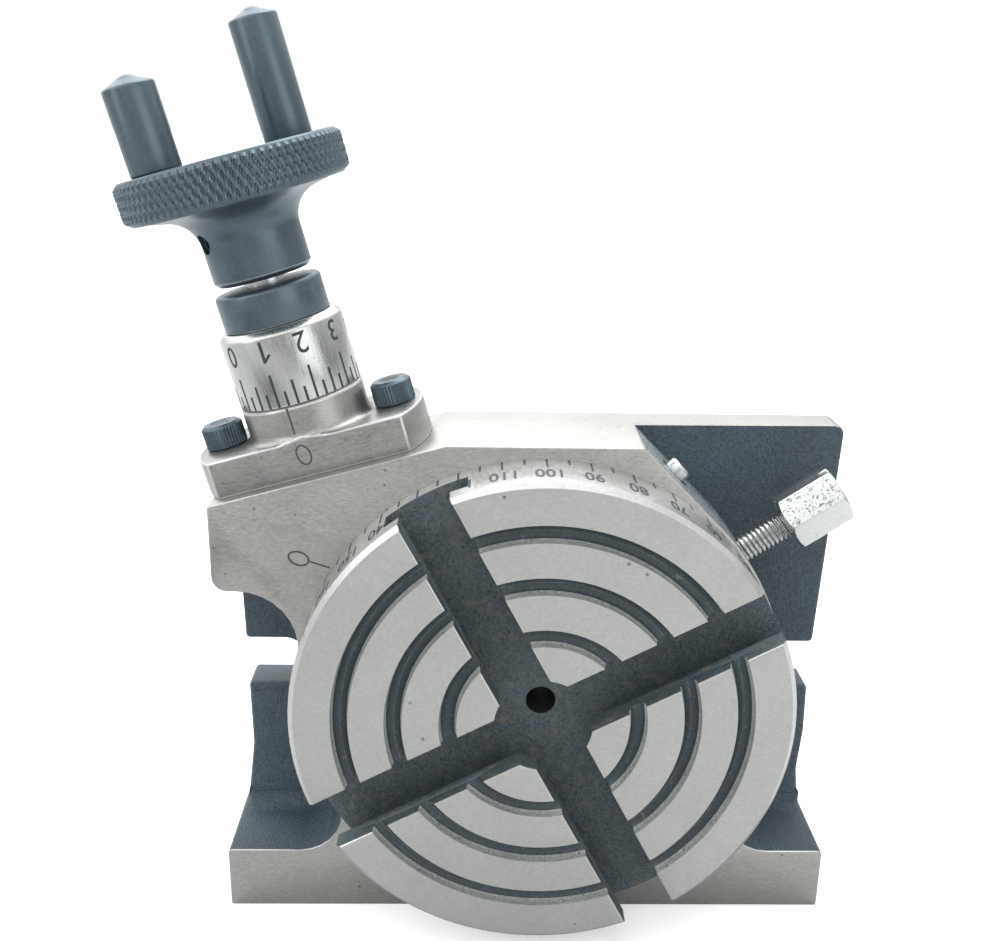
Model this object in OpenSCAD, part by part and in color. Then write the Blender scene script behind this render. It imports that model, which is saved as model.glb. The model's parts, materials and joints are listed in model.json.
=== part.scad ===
// Horizontal and vertical rotary table, 100 mm face, worm driven.
// It stands upright on its narrow foot: +X right, +Z up, the table face looks along -Y.
// The origin is on the underside of the foot, below the table axis, at mid depth.
// A "depth" below is measured back from the table face; a "station" runs up the worm
// axis from the seat that the worm sleeve is bolted to.

/* [Table] */
// Radius of the table
table_r = 50; // [49:0.5:51]
// Thickness of the table, from its face to the underside that runs on the body
table_t = 15.6; // [15:0.1:16]
// Width of a T-slot at its mouth
slot_w = 11; // [10:0.2:12]
// Width of a T-slot behind its lips
slot_wide = 18; // [16:0.5:19]
// Thickness of the lips of a T-slot
slot_lip = 5; // [4:0.2:5.5]
// Depth of the floor of the T-slots
slot_floor = 11; // [10:0.2:11.5]
// Angle of the first T-slot, from +X towards +Z
slot_turn = 28; // [0:1:60]
// Radii of the three setting-out grooves in the face
groove_r = [18.8, 29.5, 40]; // [14:0.1:46]
// Width of those grooves
groove_w = 3.5; // [2.5:0.1:4]
// Radius of the hole through the centre
centre_hole_r = 3.05; // [3:0.05:4]

/* [Body] */
// Height of the table axis above the underside of the foot
axis_h = 53.5; // [53:0.1:55]
// Depth of the body from its front face to its base plane
body_d = 28.2; // [28:0.1:30]
// Radius of the round drum behind the table
drum_r = 50.5; // [50.2:0.1:51]
// Height of the flat top above the table axis
top_h = 52.3; // [52:0.1:53]
// Thickness of the clamping lugs
lug_t = 9.4; // [9:0.1:10]
// Height of the foot
foot_h = 14; // [12:0.5:15]
// Width of the open clamping slots
u_slot_w = 10.8; // [10:0.1:11]

/* [Worm drive] */
// Gear module of the worm and wheel
module_mm = 1.5; // [1.5]
// Teeth on the worm wheel
wheel_teeth = 36; // [36]
// Distance between the table axis and the worm axis
centre_dist = 32; // [32]
// Lean of the worm axis from the vertical
worm_tilt = 15.4; // [14:0.1:17]
// Depth of the worm axis behind the table face
worm_depth = 31.7; // [31.5:0.1:32]
// Radius of the flange of the worm sleeve
flange_r = 23.7; // [23:0.1:24]
// Half the distance across the two flats of the flange
flange_flat = 13; // [12.8:0.1:13.2]
// Outer radius of the graduated dial
dial_r = 12.5; // [12:0.1:13]
// Outer radius of the handwheel
handwheel_r = 22.4; // [21:0.1:24]
// Radius of the two handles
handle_r = 4.85; // [4:0.05:5]

/* [Table lock] */
// Angle of the lock screw, from +X towards +Z
lock_turn = 34; // [30:1:38]
// Depth of the lock screw behind the table face
lock_depth = 24.5; // [24:0.1:24.8]

/* [Hidden] */
$fn = 96;

iron = [0.79, 0.78, 0.75];
black = [0.22, 0.25, 0.29];
steel = [0.62, 0.64, 0.66];
zinc = [0.82, 0.83, 0.84];
bronze = [0.72, 0.56, 0.33];

// Depths, all behind the table face
face_gap = 0.1;
front = table_t + face_gap;
back = front + body_d;
lug_front = back - lug_t;
wheel_front = 27.8;
wheel_back = 35.6;
cover_front = back - 2.5;
table_chamfer = 1;
groove_depth = 2.6;
recess_r = 9.7;

// Spindle and the bores behind it
spindle_r = 22;
seat_r = 13;
thread_r = 11;
spindle_end = 40.5;
washer_back = 36.9;
washer_r = 16.4;
nut_r = 15.5;
nut_grub_at = 13.2;
nut_grub_r = 1;
cavity_r = 29.3;
cover_r = 36;
cover_screw_r = 32.3;
cover_hole_r = 6;
cover_thread_r = 1.5;
cover_clear_r = 1.6;
cover_sink = 1.6;
cover_head_r = 3.1;
cover_screw_l = 9.5;
dowel_r = 1.5;
dowel_pitch_r = 17.5;
run_fit = 0.05;

// Half widths across the corners of the hexagon sockets
small_key_r = 1.15;
cap_key_r = 2.31;

// Worm and wheel
pitch = PI * module_mm;
wheel_pitch_r = module_mm * wheel_teeth / 2;
worm_pitch_r = centre_dist - wheel_pitch_r;
worm_outer_r = worm_pitch_r + module_mm;
worm_root_r = worm_pitch_r - 1.25 * module_mm;
lead_angle = atan(pitch / (2 * PI * worm_pitch_r));
pressure = tan(20);
flank_gap = 0.12;
worm_turns = 3.8;
worm_step = 15;

// Stations along the worm axis
seat_up = 55.6;
mesh_at = -seat_up;
tail_end = -78;
tail_top = -68.5;
worm_low = -67.5;
shoulder_low = -41.1;
shoulder_top = -40.1;
worm_room = 0.7;
sleeve_end = -38.5;
flange_t = 7.5;
flange_rear = back - worm_depth - 0.1;
boss_top = 14.4;
dial_top = 29.7;
collar_low = 29.75;
collar_top = 37.1;
collar_grub_at = 33.4;
collar_grub_r = 1.5;
hub_low = 38.6;
hub_grub_at = 47.5;
hub_grub_turn = 215;
hub_grub_r = 2;
rim_low = 53.6;
rim_top = 62.2;
shaft_top = 60.4;
groove_low = 20;
groove_top = 23;

// Radii along the worm axis
tail_r = 3;
journal_r = 5;
shaft_r = 4;
sleeve_r = 8.2;
boss_r = 12.6;
dial_bore_r = 9.05;
collar_sleeve_r = 9;
collar_r = 10.7;
hub_r = 9.85;
cap_screw_at = 18;
cap_head_r = 4.25;
cap_head_h = 5;
cap_thread_r = 2.1;
handle_at = 15.4;
handle_turn = 225;
spigot_r = 3;
spigot_l = 6;
handle_short_l = 15.8;
handle_long_l = 23.4;
handle_tip = 1.7;

// Table lock, radii from the table axis
lock_thread_r = 2.95;
lock_pad_r = 2.5;
lock_pad_in = spindle_r + run_fit + 0.12;
lock_tip = 32;
lock_head_in = 61.2;
lock_head_out = 73.8;
lock_head_af = 11;
lock_head_turn = 23;
lock_slot_w = 1.6;
lock_slot_deep = 2;
lock_bore_in = 29.5;

// Oiler on the sloping wall
oiler_along = 12.6;
oiler_depth = 25;
oiler_r = 2.6;
oiler_ball_r = 1.2;
oiler_out = 2.2;
oiler_deep = 6;
oil_passage_r = 0.9;

// Turns a depth into a Y coordinate
function yd(depth) = depth - front - body_d / 2;

// Points of an arc, centre c, radius r, from angle a to angle b in n steps
function arc(c, r, a, b, n) =
    [for (i = [0:n]) c + r * [cos(a + (b - a) * i / n), sin(a + (b - a) * i / n)]];

// Extrudes an outline drawn in X and Z about the table axis, between two depths
module slab(depth_a, depth_b) {
    translate([0, yd(depth_b), axis_h])
        rotate([90, 0, 0])
            linear_extrude(depth_b - depth_a)
                children();
}

// Turns a profile of radius and depth about the table axis
module turned() {
    translate([0, yd(0), axis_h])
        rotate([-90, 0, 0])
            rotate_extrude()
                children();
}

// Places a shape on the worm axis, with its own Z as the station
module on_worm() {
    translate([0, yd(worm_depth), axis_h])
        rotate([0, -worm_tilt, 0])
            translate([-centre_dist, 0, seat_up])
                children();
}

// A cylinder on the worm axis between two stations
module worm_rod(r, low, top) {
    on_worm()
        translate([0, 0, low])
            cylinder(r = r, h = top - low);
}

// Places a shape on the radial axis of the table lock, with its own Z outwards
module on_lock() {
    translate([0, yd(lock_depth), axis_h])
        rotate([0, 90 - lock_turn, 0])
            children();
}

// Places a shape on the sloping wall, with its own Z square to the wall
module on_wall() {
    translate([0, yd(oiler_depth), axis_h])
        rotate([0, 45, 0])
            translate([-oiler_along, 0, drum_r])
                children();
}

// ---------------------------------------------------------------- body casting

block_left = -66.6;
block_low = 21.3;
block_fillet = 12;
foot_fillet = 9;
foot_left = -66.8;
foot_right = 63.4;
wall_start = drum_r * sqrt(2) - top_h;
seat_origin = [-centre_dist * cos(worm_tilt) - seat_up * sin(worm_tilt),
               -centre_dist * sin(worm_tilt) + seat_up * cos(worm_tilt)];
seat_left_h = seat_origin[1] + (block_left - seat_origin[0]) * tan(worm_tilt);
seat_right = seat_origin[0] + (top_h - seat_origin[1]) / tan(worm_tilt);

// Centre of a fillet of radius r between the drum and a level edge at height h, on the left;
// side is 1 for an edge above its fillet and -1 for an edge below it
function fillet_centre(h, r, side) = [-sqrt((drum_r + r) ^ 2 - (h - side * r) ^ 2), h - side * r];

// Direction of a point as seen from the table axis, from 0 to 360
function bearing(p) = (atan2(p[1], p[0]) + 360) % 360;

// Outline of what stands forward to the machined front face
module front_outline() {
    foot_top = foot_h - axis_h;
    upper = fillet_centre(block_low, block_fillet, 1);
    lower = fillet_centre(foot_top, foot_fillet, -1);
    lower_mirrored = [-lower[0], lower[1]];
    corner = 3;
    polygon(concat([[foot_left, -axis_h], [foot_right, -axis_h], [foot_right, foot_top]],
                   arc(lower_mirrored, foot_fillet, 270, 180 + bearing(lower_mirrored) - 360, 8),
                   arc([0, 0], drum_r, bearing(lower_mirrored) - 360 + 2, 43, 36),
                   [[drum_r, drum_r] / sqrt(2), [wall_start, top_h], [seat_right, top_h],
                    [block_left, seat_left_h]],
                   arc([block_left + corner, block_low + corner], corner, 180, 270, 5),
                   arc(upper, block_fillet, 90, bearing(upper) - 180, 8),
                   arc([0, 0], drum_r, bearing(upper) + 2, bearing(lower) - 2, 18),
                   arc(lower, foot_fillet, bearing(lower) - 180, -90, 8),
                   [[foot_left, foot_top]]));
}

// Outline of the clamping lugs and of the plate in the upper right corner
module lug_outline() {
    slot_h = -3.1;
    slot_end = drum_r + u_slot_w / 2 + 0.1;
    corner = 2;
    difference() {
        polygon(concat([[-64.6, block_low + 1], [-64.2, slot_h], [-63.9, -24], [-65.4, -36],
                        [-65.6, foot_h - axis_h - 1], [62.8, foot_h - axis_h - 1],
                        [61.6, -30], [62.3, -20], [61.8, slot_h]],
                       arc([64 - corner, top_h - corner], corner, 0, 90, 6),
                       [[0, top_h], [0, block_low + 1]]));
        for (side = [-1, 1]) {
            translate([side * slot_end, slot_h])
                circle(u_slot_w / 2);
            translate([side * (slot_end + 10), slot_h])
                square([20, u_slot_w], center = true);
        }
    }
}

// A concave fillet along X where the foot meets a lug
module foot_bead(from_x, to_x) {
    bead = 4;
    translate([from_x, yd(lug_front), foot_h])
        rotate([90, 0, 90])
            linear_extrude(to_x - from_x)
                polygon(concat([[1, -1], [1, bead]], arc([-bead, bead], bead, 0, -90, 8), [[-bead, -1]]));
}

module body_casting() {
    color(iron)
        difference() {
            union() {
                slab(front, back)
                    front_outline();
                slab(lug_front, back)
                    lug_outline();
                foot_bead(-65.4, -45);
                foot_bead(45, 62.6);
            }
            // Spindle bore, wheel chamber and the seat of the rear cover
            slab(front - 1, wheel_front)
                circle(spindle_r + run_fit);
            slab(wheel_front - face_gap, back + 1)
                circle(cavity_r);
            slab(cover_front, back + 1)
                circle(cover_r);
            cover_screw_places()
                slab(cover_front - 8, back)
                    circle(cover_thread_r);
            // Bore of the worm sleeve, room for the worm, and the tail bearing
            worm_rod(sleeve_r, sleeve_end - 2, 1);
            worm_rod(worm_outer_r + worm_room, tail_top - 0.5, sleeve_end);
            worm_rod(journal_r, tail_end - 1.5, tail_top);
            for (side = [-1, 1])
                on_worm()
                    translate([side * cap_screw_at, 0, -14])
                        cylinder(r = cap_thread_r, h = 15);
            // Table lock
            on_lock()
                translate([0, 0, spindle_r - 2])
                    cylinder(r = lock_pad_r + run_fit, h = 10);
            on_lock()
                translate([0, 0, lock_bore_in])
                    cylinder(r = lock_thread_r + run_fit, h = 30);
            // Oiler and its passage to the spindle
            on_wall()
                translate([0, 0, -oiler_deep])
                    cylinder(r = oiler_r, h = oiler_deep + 2);
            on_wall()
                translate([0, 0, -36])
                    cylinder(r = oil_passage_r, h = 32);
        }
}

// Repeats its children at the three rear cover screws
module cover_screw_places() {
    for (turn = [0, 120, 240])
        translate([0, 0, axis_h])
            rotate([0, 180 + 60 - worm_tilt + turn, 0])
                translate([cover_screw_r, 0, -axis_h])
                    children();
}

module rear_cover() {
    color(steel)
        difference() {
            slab(cover_front, back)
                circle(cover_r - 0.1);
            slab(cover_front - 1, back + 1)
                circle(cover_hole_r);
            cover_screw_places()
                slab(cover_front - 1, back + 1)
                    circle(cover_clear_r);
            cover_screw_places()
                translate([0, yd(back) - cover_sink, axis_h])
                    rotate([-90, 0, 0])
                        cylinder(r1 = cover_clear_r, r2 = cover_head_r + 0.2, h = cover_sink + 0.1);
        }
}

module rear_cover_screws() {
    color(black)
        cover_screw_places()
            translate([0, yd(back), axis_h])
                rotate([-90, 0, 0])
                    difference() {
                        union() {
                            translate([0, 0, -cover_screw_l])
                                cylinder(r = cover_thread_r, h = cover_screw_l - 0.5);
                            translate([0, 0, -cover_sink])
                                cylinder(r1 = cover_thread_r, r2 = cover_head_r, h = cover_sink);
                        }
                        translate([0, 0, 0.4 - cover_sink])
                            cylinder(r = small_key_r, h = 2, $fn = 6);
                    }
}

// ---------------------------------------------------------------- table

module table_blank() {
    turned()
        polygon([[0, 0], [table_r - table_chamfer, 0], [table_r, table_chamfer],
                 [table_r, table_t - 0.4], [table_r - 0.4, table_t], [spindle_r, table_t],
                 [spindle_r, wheel_front], [seat_r, wheel_front],
                 [seat_r, wheel_back - 0.1], [thread_r, wheel_back - 0.1], [thread_r, spindle_end - 0.5],
                 [thread_r - 0.5, spindle_end], [0, spindle_end]]);
}

module table_groove(r) {
    turned()
        union() {
            translate([r, groove_depth - groove_w / 2])
                circle(groove_w / 2, $fn = 32);
            translate([r - groove_w / 2, -1])
                square([groove_w, 1 + groove_depth - groove_w / 2]);
        }
}

module t_slot(turn) {
    slab(-1, slot_lip + 0.5)
        rotate(turn)
            square([2.2 * table_r, slot_w], center = true);
    slab(slot_lip, slot_floor)
        rotate(turn)
            square([2.2 * table_r, slot_wide], center = true);
}

// The two dowels that carry the turning force from the wheel to the spindle
module dowel_places() {
    for (side = [-1, 1])
        translate([side * dowel_pitch_r, 0, 0])
            children();
}

module table_disc() {
    color(iron)
        difference() {
            table_blank();
            for (r = groove_r)
                table_groove(r);
            t_slot(slot_turn);
            t_slot(slot_turn + 90);
            slab(-1, slot_floor)
                circle(recess_r);
            slab(-1, spindle_end + 1)
                circle(centre_hole_r);
            dowel_places()
                slab(wheel_front - 6, wheel_back)
                    circle(dowel_r);
        }
}

module wheel_dowels() {
    color(steel)
        dowel_places()
            slab(wheel_front - 6, wheel_back - 0.3)
                circle(dowel_r);
}

// One gap between two teeth, as it stands at the top of the wheel
module tooth_gap() {
    half = pitch / 4 + flank_gap;
    deep = 1.3 * module_mm;
    high = 1.4 * module_mm;
    rotate([0, -lead_angle, 0])
        linear_extrude(14, center = true)
            polygon([[-half + deep * pressure, wheel_pitch_r - deep],
                     [half - deep * pressure, wheel_pitch_r - deep],
                     [half + high * pressure, wheel_pitch_r + high],
                     [-half - high * pressure, wheel_pitch_r + high]]);
}

module worm_wheel() {
    color(bronze)
        difference() {
            slab(wheel_front, wheel_back)
                circle(wheel_pitch_r + module_mm);
            slab(wheel_front - 1, wheel_back + 1)
                circle(seat_r);
            dowel_places()
                slab(wheel_front - 1, wheel_back + 1)
                    circle(dowel_r);
            translate([0, yd(worm_depth), axis_h])
                rotate([90, 0, 0])
                    for (i = [0:wheel_teeth - 1])
                        rotate([0, 0, 90 + worm_tilt + i * 360 / wheel_teeth])
                            tooth_gap();
        }
}

module clamp_washer() {
    color(steel)
        slab(wheel_back, washer_back)
            difference() {
                circle(washer_r);
                circle(thread_r);
            }
}

module spindle_nut() {
    color(steel)
        difference() {
            slab(washer_back, spindle_end - 0.4)
                circle(nut_r);
            slab(washer_back - 1, spindle_end + 1)
                circle(thread_r);
            slab(washer_back + 1.6, spindle_end + 1)
                for (turn = [0, 90])
                    rotate(turn)
                        square([40, 3.4], center = true);
            rotate_about_axis(45)
                slab(washer_back - 1, spindle_end + 1)
                    translate([nut_grub_at, 0])
                        circle(nut_grub_r);
        }
}

// Turns its children about the table axis
module rotate_about_axis(turn) {
    translate([0, 0, axis_h])
        rotate([0, -turn, 0])
            translate([0, 0, -axis_h])
                children();
}

module nut_grub_screw() {
    color(black)
        rotate_about_axis(45)
            difference() {
                slab(washer_back, spindle_end - 0.8)
                    translate([nut_grub_at, 0])
                        circle(nut_grub_r);
                slab(spindle_end - 2.2, spindle_end)
                    translate([nut_grub_at, 0])
                        circle(0.5, $fn = 6);
            }
}

// ---------------------------------------------------------------- worm drive

// The single-start thread of the worm, swept up its axis about the mesh point
module worm_thread() {
    steps = round(worm_turns * 360 / worm_step);
    inner_r = worm_root_r - 0.3;
    half = pitch / 4 - flank_gap;
    section = [[inner_r, -half - (worm_pitch_r - inner_r) * pressure],
               [worm_outer_r, -half + module_mm * pressure],
               [worm_outer_r, half - module_mm * pressure],
               [inner_r, half + (worm_pitch_r - inner_r) * pressure]];
    points = [for (i = [0:steps])
                  let (turn = (i - steps / 2) * worm_step)
                      for (p = section)
                          [p[0] * cos(turn), p[0] * sin(turn), p[1] + pitch * turn / 360]];
    sides = [for (i = [0:steps - 1], k = [0:3])
                 let (a = 4 * i + k, b = 4 * i + (k + 1) % 4)
                     each [[a, b, b + 4], [a, b + 4, a + 4]]];
    ends = [[3, 2, 1, 0], [for (k = [0:3]) 4 * steps + k]];
    translate([0, 0, mesh_at])
        polyhedron(points, concat(sides, ends));
}

module worm_shaft() {
    color(steel) {
        on_worm()
            union() {
                worm_thread();
                translate([0, 0, worm_low])
                    linear_extrude(shoulder_low - worm_low + 0.1)
                        polygon(arc([0, 0], worm_root_r, 0, 345, 23));
            }
        worm_rod(tail_r, tail_end, worm_low);
        worm_rod(worm_outer_r, shoulder_low, shoulder_top);
        worm_rod(journal_r, shoulder_top, boss_top);
        worm_rod(shaft_r, boss_top, shaft_top);
    }
}

module tail_bush() {
    color(bronze)
        difference() {
            worm_rod(journal_r, tail_end - 1, tail_top);
            worm_rod(tail_r + run_fit, tail_end - 2, tail_top + 1);
        }
}

module thrust_washer() {
    color(bronze)
        difference() {
            worm_rod(sleeve_r - 0.4, shoulder_top + 0.1, sleeve_end);
            worm_rod(journal_r + run_fit, shoulder_top - 1, sleeve_end + 1);
        }
}

// Round boss with a small fillet where it rises from the flange
module boss_profile() {
    fillet = 1.6;
    polygon(concat([[0, 0], [boss_r + fillet, 0], [boss_r + fillet, flange_t]],
                   arc([boss_r + fillet, flange_t + fillet], fillet, 270, 180, 6),
                   [[boss_r, boss_top - 0.3], [boss_r - 0.3, boss_top], [0, boss_top]]));
}

// The bar between the front flat of the flange and its rear flat, just short of the base plane
module flange_stock() {
    translate([-flange_r - 1, -flange_flat, -1])
        cube([2 * flange_r + 2, flange_flat + flange_rear, boss_top + 2]);
}

module worm_sleeve() {
    color(iron)
        difference() {
            union() {
                worm_rod(sleeve_r, sleeve_end, 0.5);
                on_worm()
                    intersection() {
                        cylinder(r = flange_r, h = flange_t);
                        flange_stock();
                    }
                on_worm()
                    intersection() {
                        rotate_extrude()
                            boss_profile();
                        flange_stock();
                    }
            }
            worm_rod(journal_r + run_fit, sleeve_end - 1, boss_top + 1);
            for (side = [-1, 1])
                on_worm()
                    translate([side * cap_screw_at, 0, -1])
                        cylinder(r = 2.6, h = flange_t + 2);
        }
}

module sleeve_cap_screws() {
    color(black)
        for (side = [-1, 1])
            on_worm()
                translate([side * cap_screw_at, 0, flange_t])
                    difference() {
                        union() {
                            translate([0, 0, -20])
                                cylinder(r = cap_thread_r, h = 20.5);
                            cylinder(r = cap_head_r, h = cap_head_h - 0.5);
                            translate([0, 0, cap_head_h - 0.5])
                                cylinder(r1 = cap_head_r, r2 = cap_head_r - 0.5, h = 0.5);
                        }
                        translate([0, 0, cap_head_h - 2.5])
                            cylinder(r = cap_key_r, h = 3, $fn = 6);
                    }
}

module dial() {
    edge = 1.2;
    color(iron)
        on_worm()
            rotate_extrude()
                polygon([[dial_bore_r, boss_top + 0.05], [dial_r - 0.2, boss_top + 0.05],
                         [dial_r, boss_top + 0.25], [dial_r, dial_top - edge],
                         [dial_r - edge, dial_top], [dial_bore_r, dial_top]]);
}

module dial_friction_ring() {
    color(bronze)
        on_worm()
            translate([0, 0, groove_low + 0.2])
                rotate_extrude(angle = 320)
                    translate([8.35, 0])
                        square([0.6, groove_top - groove_low - 0.4]);
}

module lock_collar() {
    color(black)
        difference() {
            on_worm()
                rotate_extrude()
                    polygon(concat([[shaft_r, boss_top + 0.1], [collar_sleeve_r, boss_top + 0.1],
                                    [collar_sleeve_r, groove_low], [8.3, groove_low],
                                    [8.3, groove_top], [collar_sleeve_r, groove_top],
                                    [collar_sleeve_r, collar_low]],
                                   [[collar_r, collar_low]],
                                   arc([collar_r - 1, collar_top - 1], 1, 0, 90, 5),
                                   [[shaft_r, collar_top]]));
            collar_grub_hole(shaft_r / 2, collar_r + 1);
        }
}

// A radial hole in the collar, towards the base plane
module collar_grub_hole(start, reach) {
    on_worm()
        translate([0, 0, collar_grub_at])
            rotate([-90, 0, 0])
                translate([0, 0, start])
                    cylinder(r = collar_grub_r, h = reach - start);
}

module collar_grub_screw() {
    color(black)
        difference() {
            collar_grub_hole(shaft_r, collar_r - 1.1);
            on_worm()
                translate([0, 8, collar_grub_at])
                    rotate([-90, 0, 0])
                        cylinder(r = 0.85, h = 3, $fn = 6);
        }
}

// Half section of the handwheel, radius against station
module handwheel_profile() {
    flare_r = 6.2;
    rim_edge = 1.4;
    polygon(concat([[shaft_r, hub_low], [hub_r - 0.9, hub_low], [hub_r, hub_low + 0.9],
                    [hub_r, rim_low - flare_r - 0.6]],
                   arc([hub_r + flare_r, rim_low - flare_r - 0.6], flare_r, 180, 100, 8),
                   [[handwheel_r - 3.2, rim_low + 0.2], [handwheel_r - rim_edge, rim_low + 0.2],
                    [handwheel_r, rim_low + 1.5], [handwheel_r, rim_top - 1.1],
                    [handwheel_r - 1.2, rim_top], [7.6, rim_top],
                    [7, rim_top - 0.8], [shaft_r, rim_top - 0.8]]));
}

// Places a shape on the axis of one handle, from the top face of the handwheel
module on_handle(turn) {
    on_worm()
        rotate([0, 0, turn])
            translate([handle_at, 0, rim_top])
                children();
}

module handwheel() {
    color(black)
        difference() {
            on_worm()
                rotate_extrude()
                    handwheel_profile();
            for (turn = [handle_turn, handle_turn + 180])
                on_handle(turn)
                    translate([0, 0, -spigot_l])
                        cylinder(r = spigot_r, h = spigot_l + 1);
            hub_grub_hole(shaft_r / 2, hub_r + 8);
        }
}

// A radial hole through the hub, to the front left
module hub_grub_hole(start, reach) {
    on_worm()
        translate([0, 0, hub_grub_at])
            rotate([0, 0, hub_grub_turn])
                rotate([0, 90, 0])
                    translate([0, 0, start])
                        cylinder(r = hub_grub_r, h = reach - start);
}

module handwheel_grub_screw() {
    color(black)
        difference() {
            hub_grub_hole(shaft_r, hub_r - 0.8);
            on_worm()
                translate([0, 0, hub_grub_at])
                    rotate([0, 0, hub_grub_turn])
                        rotate([0, 90, 0])
                            translate([0, 0, hub_r - 3])
                                cylinder(r = small_key_r, h = 4, $fn = 6);
        }
}

module handle(turn, length) {
    color(black)
        on_handle(turn)
            rotate_extrude()
                polygon(concat([[0, -spigot_l + 0.3], [spigot_r, -spigot_l + 0.3], [spigot_r, 0],
                                [handle_r - 0.3, 0], [handle_r, 0.3]],
                               arc([handle_r - 0.6, length - 0.6], 0.6, 0, 70, 4),
                               arc([0, length + handle_tip - 3], 3, 50, 90, 4)));
}

module handle_short() {
    handle(handle_turn, handle_short_l);
}

module handle_long() {
    handle(handle_turn + 180, handle_long_l);
}

// ---------------------------------------------------------------- table lock and oiler

module lock_screw() {
    corner_r = lock_head_af / sqrt(3);
    color(zinc)
        on_lock()
            difference() {
                union() {
                    translate([0, 0, lock_tip + 0.8])
                        cylinder(r = lock_thread_r, h = lock_head_in - lock_tip);
                    translate([0, 0, lock_tip])
                        cylinder(r1 = lock_thread_r - 0.8, r2 = lock_thread_r, h = 0.8);
                    intersection() {
                        translate([0, 0, lock_head_in])
                            rotate([0, 0, lock_head_turn])
                                cylinder(r = corner_r, h = lock_head_out - lock_head_in, $fn = 6);
                        rotate_extrude()
                            polygon([[0, lock_head_in], [corner_r - 0.9, lock_head_in],
                                     [corner_r + 0.1, lock_head_in + 0.6],
                                     [corner_r + 0.1, lock_head_out - 0.9],
                                     [corner_r - 1.3, lock_head_out], [0, lock_head_out]]);
                    }
                }
                translate([-10, -lock_slot_w / 2, lock_head_out - lock_slot_deep])
                    cube([20, lock_slot_w, lock_slot_deep + 1]);
            }
}

module lock_pad() {
    color(bronze)
        on_lock()
            translate([0, 0, lock_pad_in])
                cylinder(r = lock_pad_r, h = lock_tip - lock_pad_in);
}

module oiler_cup() {
    color(zinc)
        on_wall()
            rotate_extrude()
                polygon([[oiler_ball_r - 0.25, oiler_out], [oiler_r - 0.5, oiler_out],
                         [oiler_r, oiler_out - 0.5], [oiler_r, 0.2 - oiler_deep], [0.7, 0.2 - oiler_deep],
                         [0.7, -4.6], [oiler_ball_r + 0.15, -4.6], [oiler_ball_r + 0.15, 1.5]]);
}

module oiler_spring() {
    wire = 0.18;
    coils = 4;
    sides = 6;
    steps = coils * 12;
    low = -4.5;
    rise = 2.4;
    radius = 0.9;
    points = [for (i = [0:steps], k = [0:sides - 1])
                  let (turn = i * 30, a = k * 360 / sides, r = radius + wire * cos(a))
                      [r * cos(turn), r * sin(turn), low + wire + rise * i / steps + wire * sin(a)]];
    skin = [for (i = [0:steps - 1], k = [0:sides - 1])
                let (a = i * sides + k, b = i * sides + (k + 1) % sides)
                    each [[a, b, b + sides], [a, b + sides, a + sides]]];
    ends = [[for (k = [0:sides - 1]) sides - 1 - k], [for (k = [0:sides - 1]) steps * sides + k]];
    color(steel)
        on_wall()
            polyhedron(points, concat(skin, ends));
}

module oiler_ball() {
    color(zinc)
        on_wall()
            translate([0, 0, 0.75])
                sphere(r = oiler_ball_r);
}

body_casting();
rear_cover();
rear_cover_screws();
table_disc();
worm_wheel();
wheel_dowels();
clamp_washer();
spindle_nut();
nut_grub_screw();
worm_shaft();
worm_sleeve();
sleeve_cap_screws();
thrust_washer();
tail_bush();
dial();
dial_friction_ring();
lock_collar();
collar_grub_screw();
handwheel();
handwheel_grub_screw();
handle_short();
handle_long();
lock_screw();
lock_pad();
oiler_cup();
oiler_spring();
oiler_ball();
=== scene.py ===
import json
import math

import bmesh
import bpy
from mathutils import Matrix, Vector


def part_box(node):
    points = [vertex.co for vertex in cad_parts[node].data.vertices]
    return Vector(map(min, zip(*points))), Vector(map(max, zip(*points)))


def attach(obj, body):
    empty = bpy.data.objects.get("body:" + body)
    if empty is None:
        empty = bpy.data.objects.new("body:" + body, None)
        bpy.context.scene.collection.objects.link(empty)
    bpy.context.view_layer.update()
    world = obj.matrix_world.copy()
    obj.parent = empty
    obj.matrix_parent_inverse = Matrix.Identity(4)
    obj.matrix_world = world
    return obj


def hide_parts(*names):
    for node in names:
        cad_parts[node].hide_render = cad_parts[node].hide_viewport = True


bl_info = {
    "name": "Rotary table",
    "version": (1, 0, 0),
    "blender": (4, 5, 0),
    "location": "3D View > Sidebar > Rotary table",
    "description": "Finishes the packed rotary table: castings, scales, knurling, screws and stage",
    "category": "Object",
}

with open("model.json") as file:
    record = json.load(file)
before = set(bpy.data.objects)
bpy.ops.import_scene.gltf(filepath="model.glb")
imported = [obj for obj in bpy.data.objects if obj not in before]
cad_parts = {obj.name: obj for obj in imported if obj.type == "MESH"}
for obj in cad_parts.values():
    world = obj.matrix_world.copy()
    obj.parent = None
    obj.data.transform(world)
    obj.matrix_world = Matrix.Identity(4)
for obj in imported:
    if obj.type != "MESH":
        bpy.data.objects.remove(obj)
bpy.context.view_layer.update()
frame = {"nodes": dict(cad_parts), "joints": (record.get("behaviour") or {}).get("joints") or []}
NODES = frame["nodes"]
MM = 0.001


# ------------------------------------------------------------------ places on the frame

def joint(name):
    return next(j for j in frame["joints"] if j["name"] == name)


def axes(origin, z, y):
    """A frame whose Z runs along z and whose Y runs along y as nearly as it can."""
    z = Vector(z).normalized()
    x = Vector(y).cross(z).normalized()
    matrix = Matrix((x, z.cross(x), z)).transposed().to_4x4()
    matrix.translation = origin
    return matrix


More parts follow.
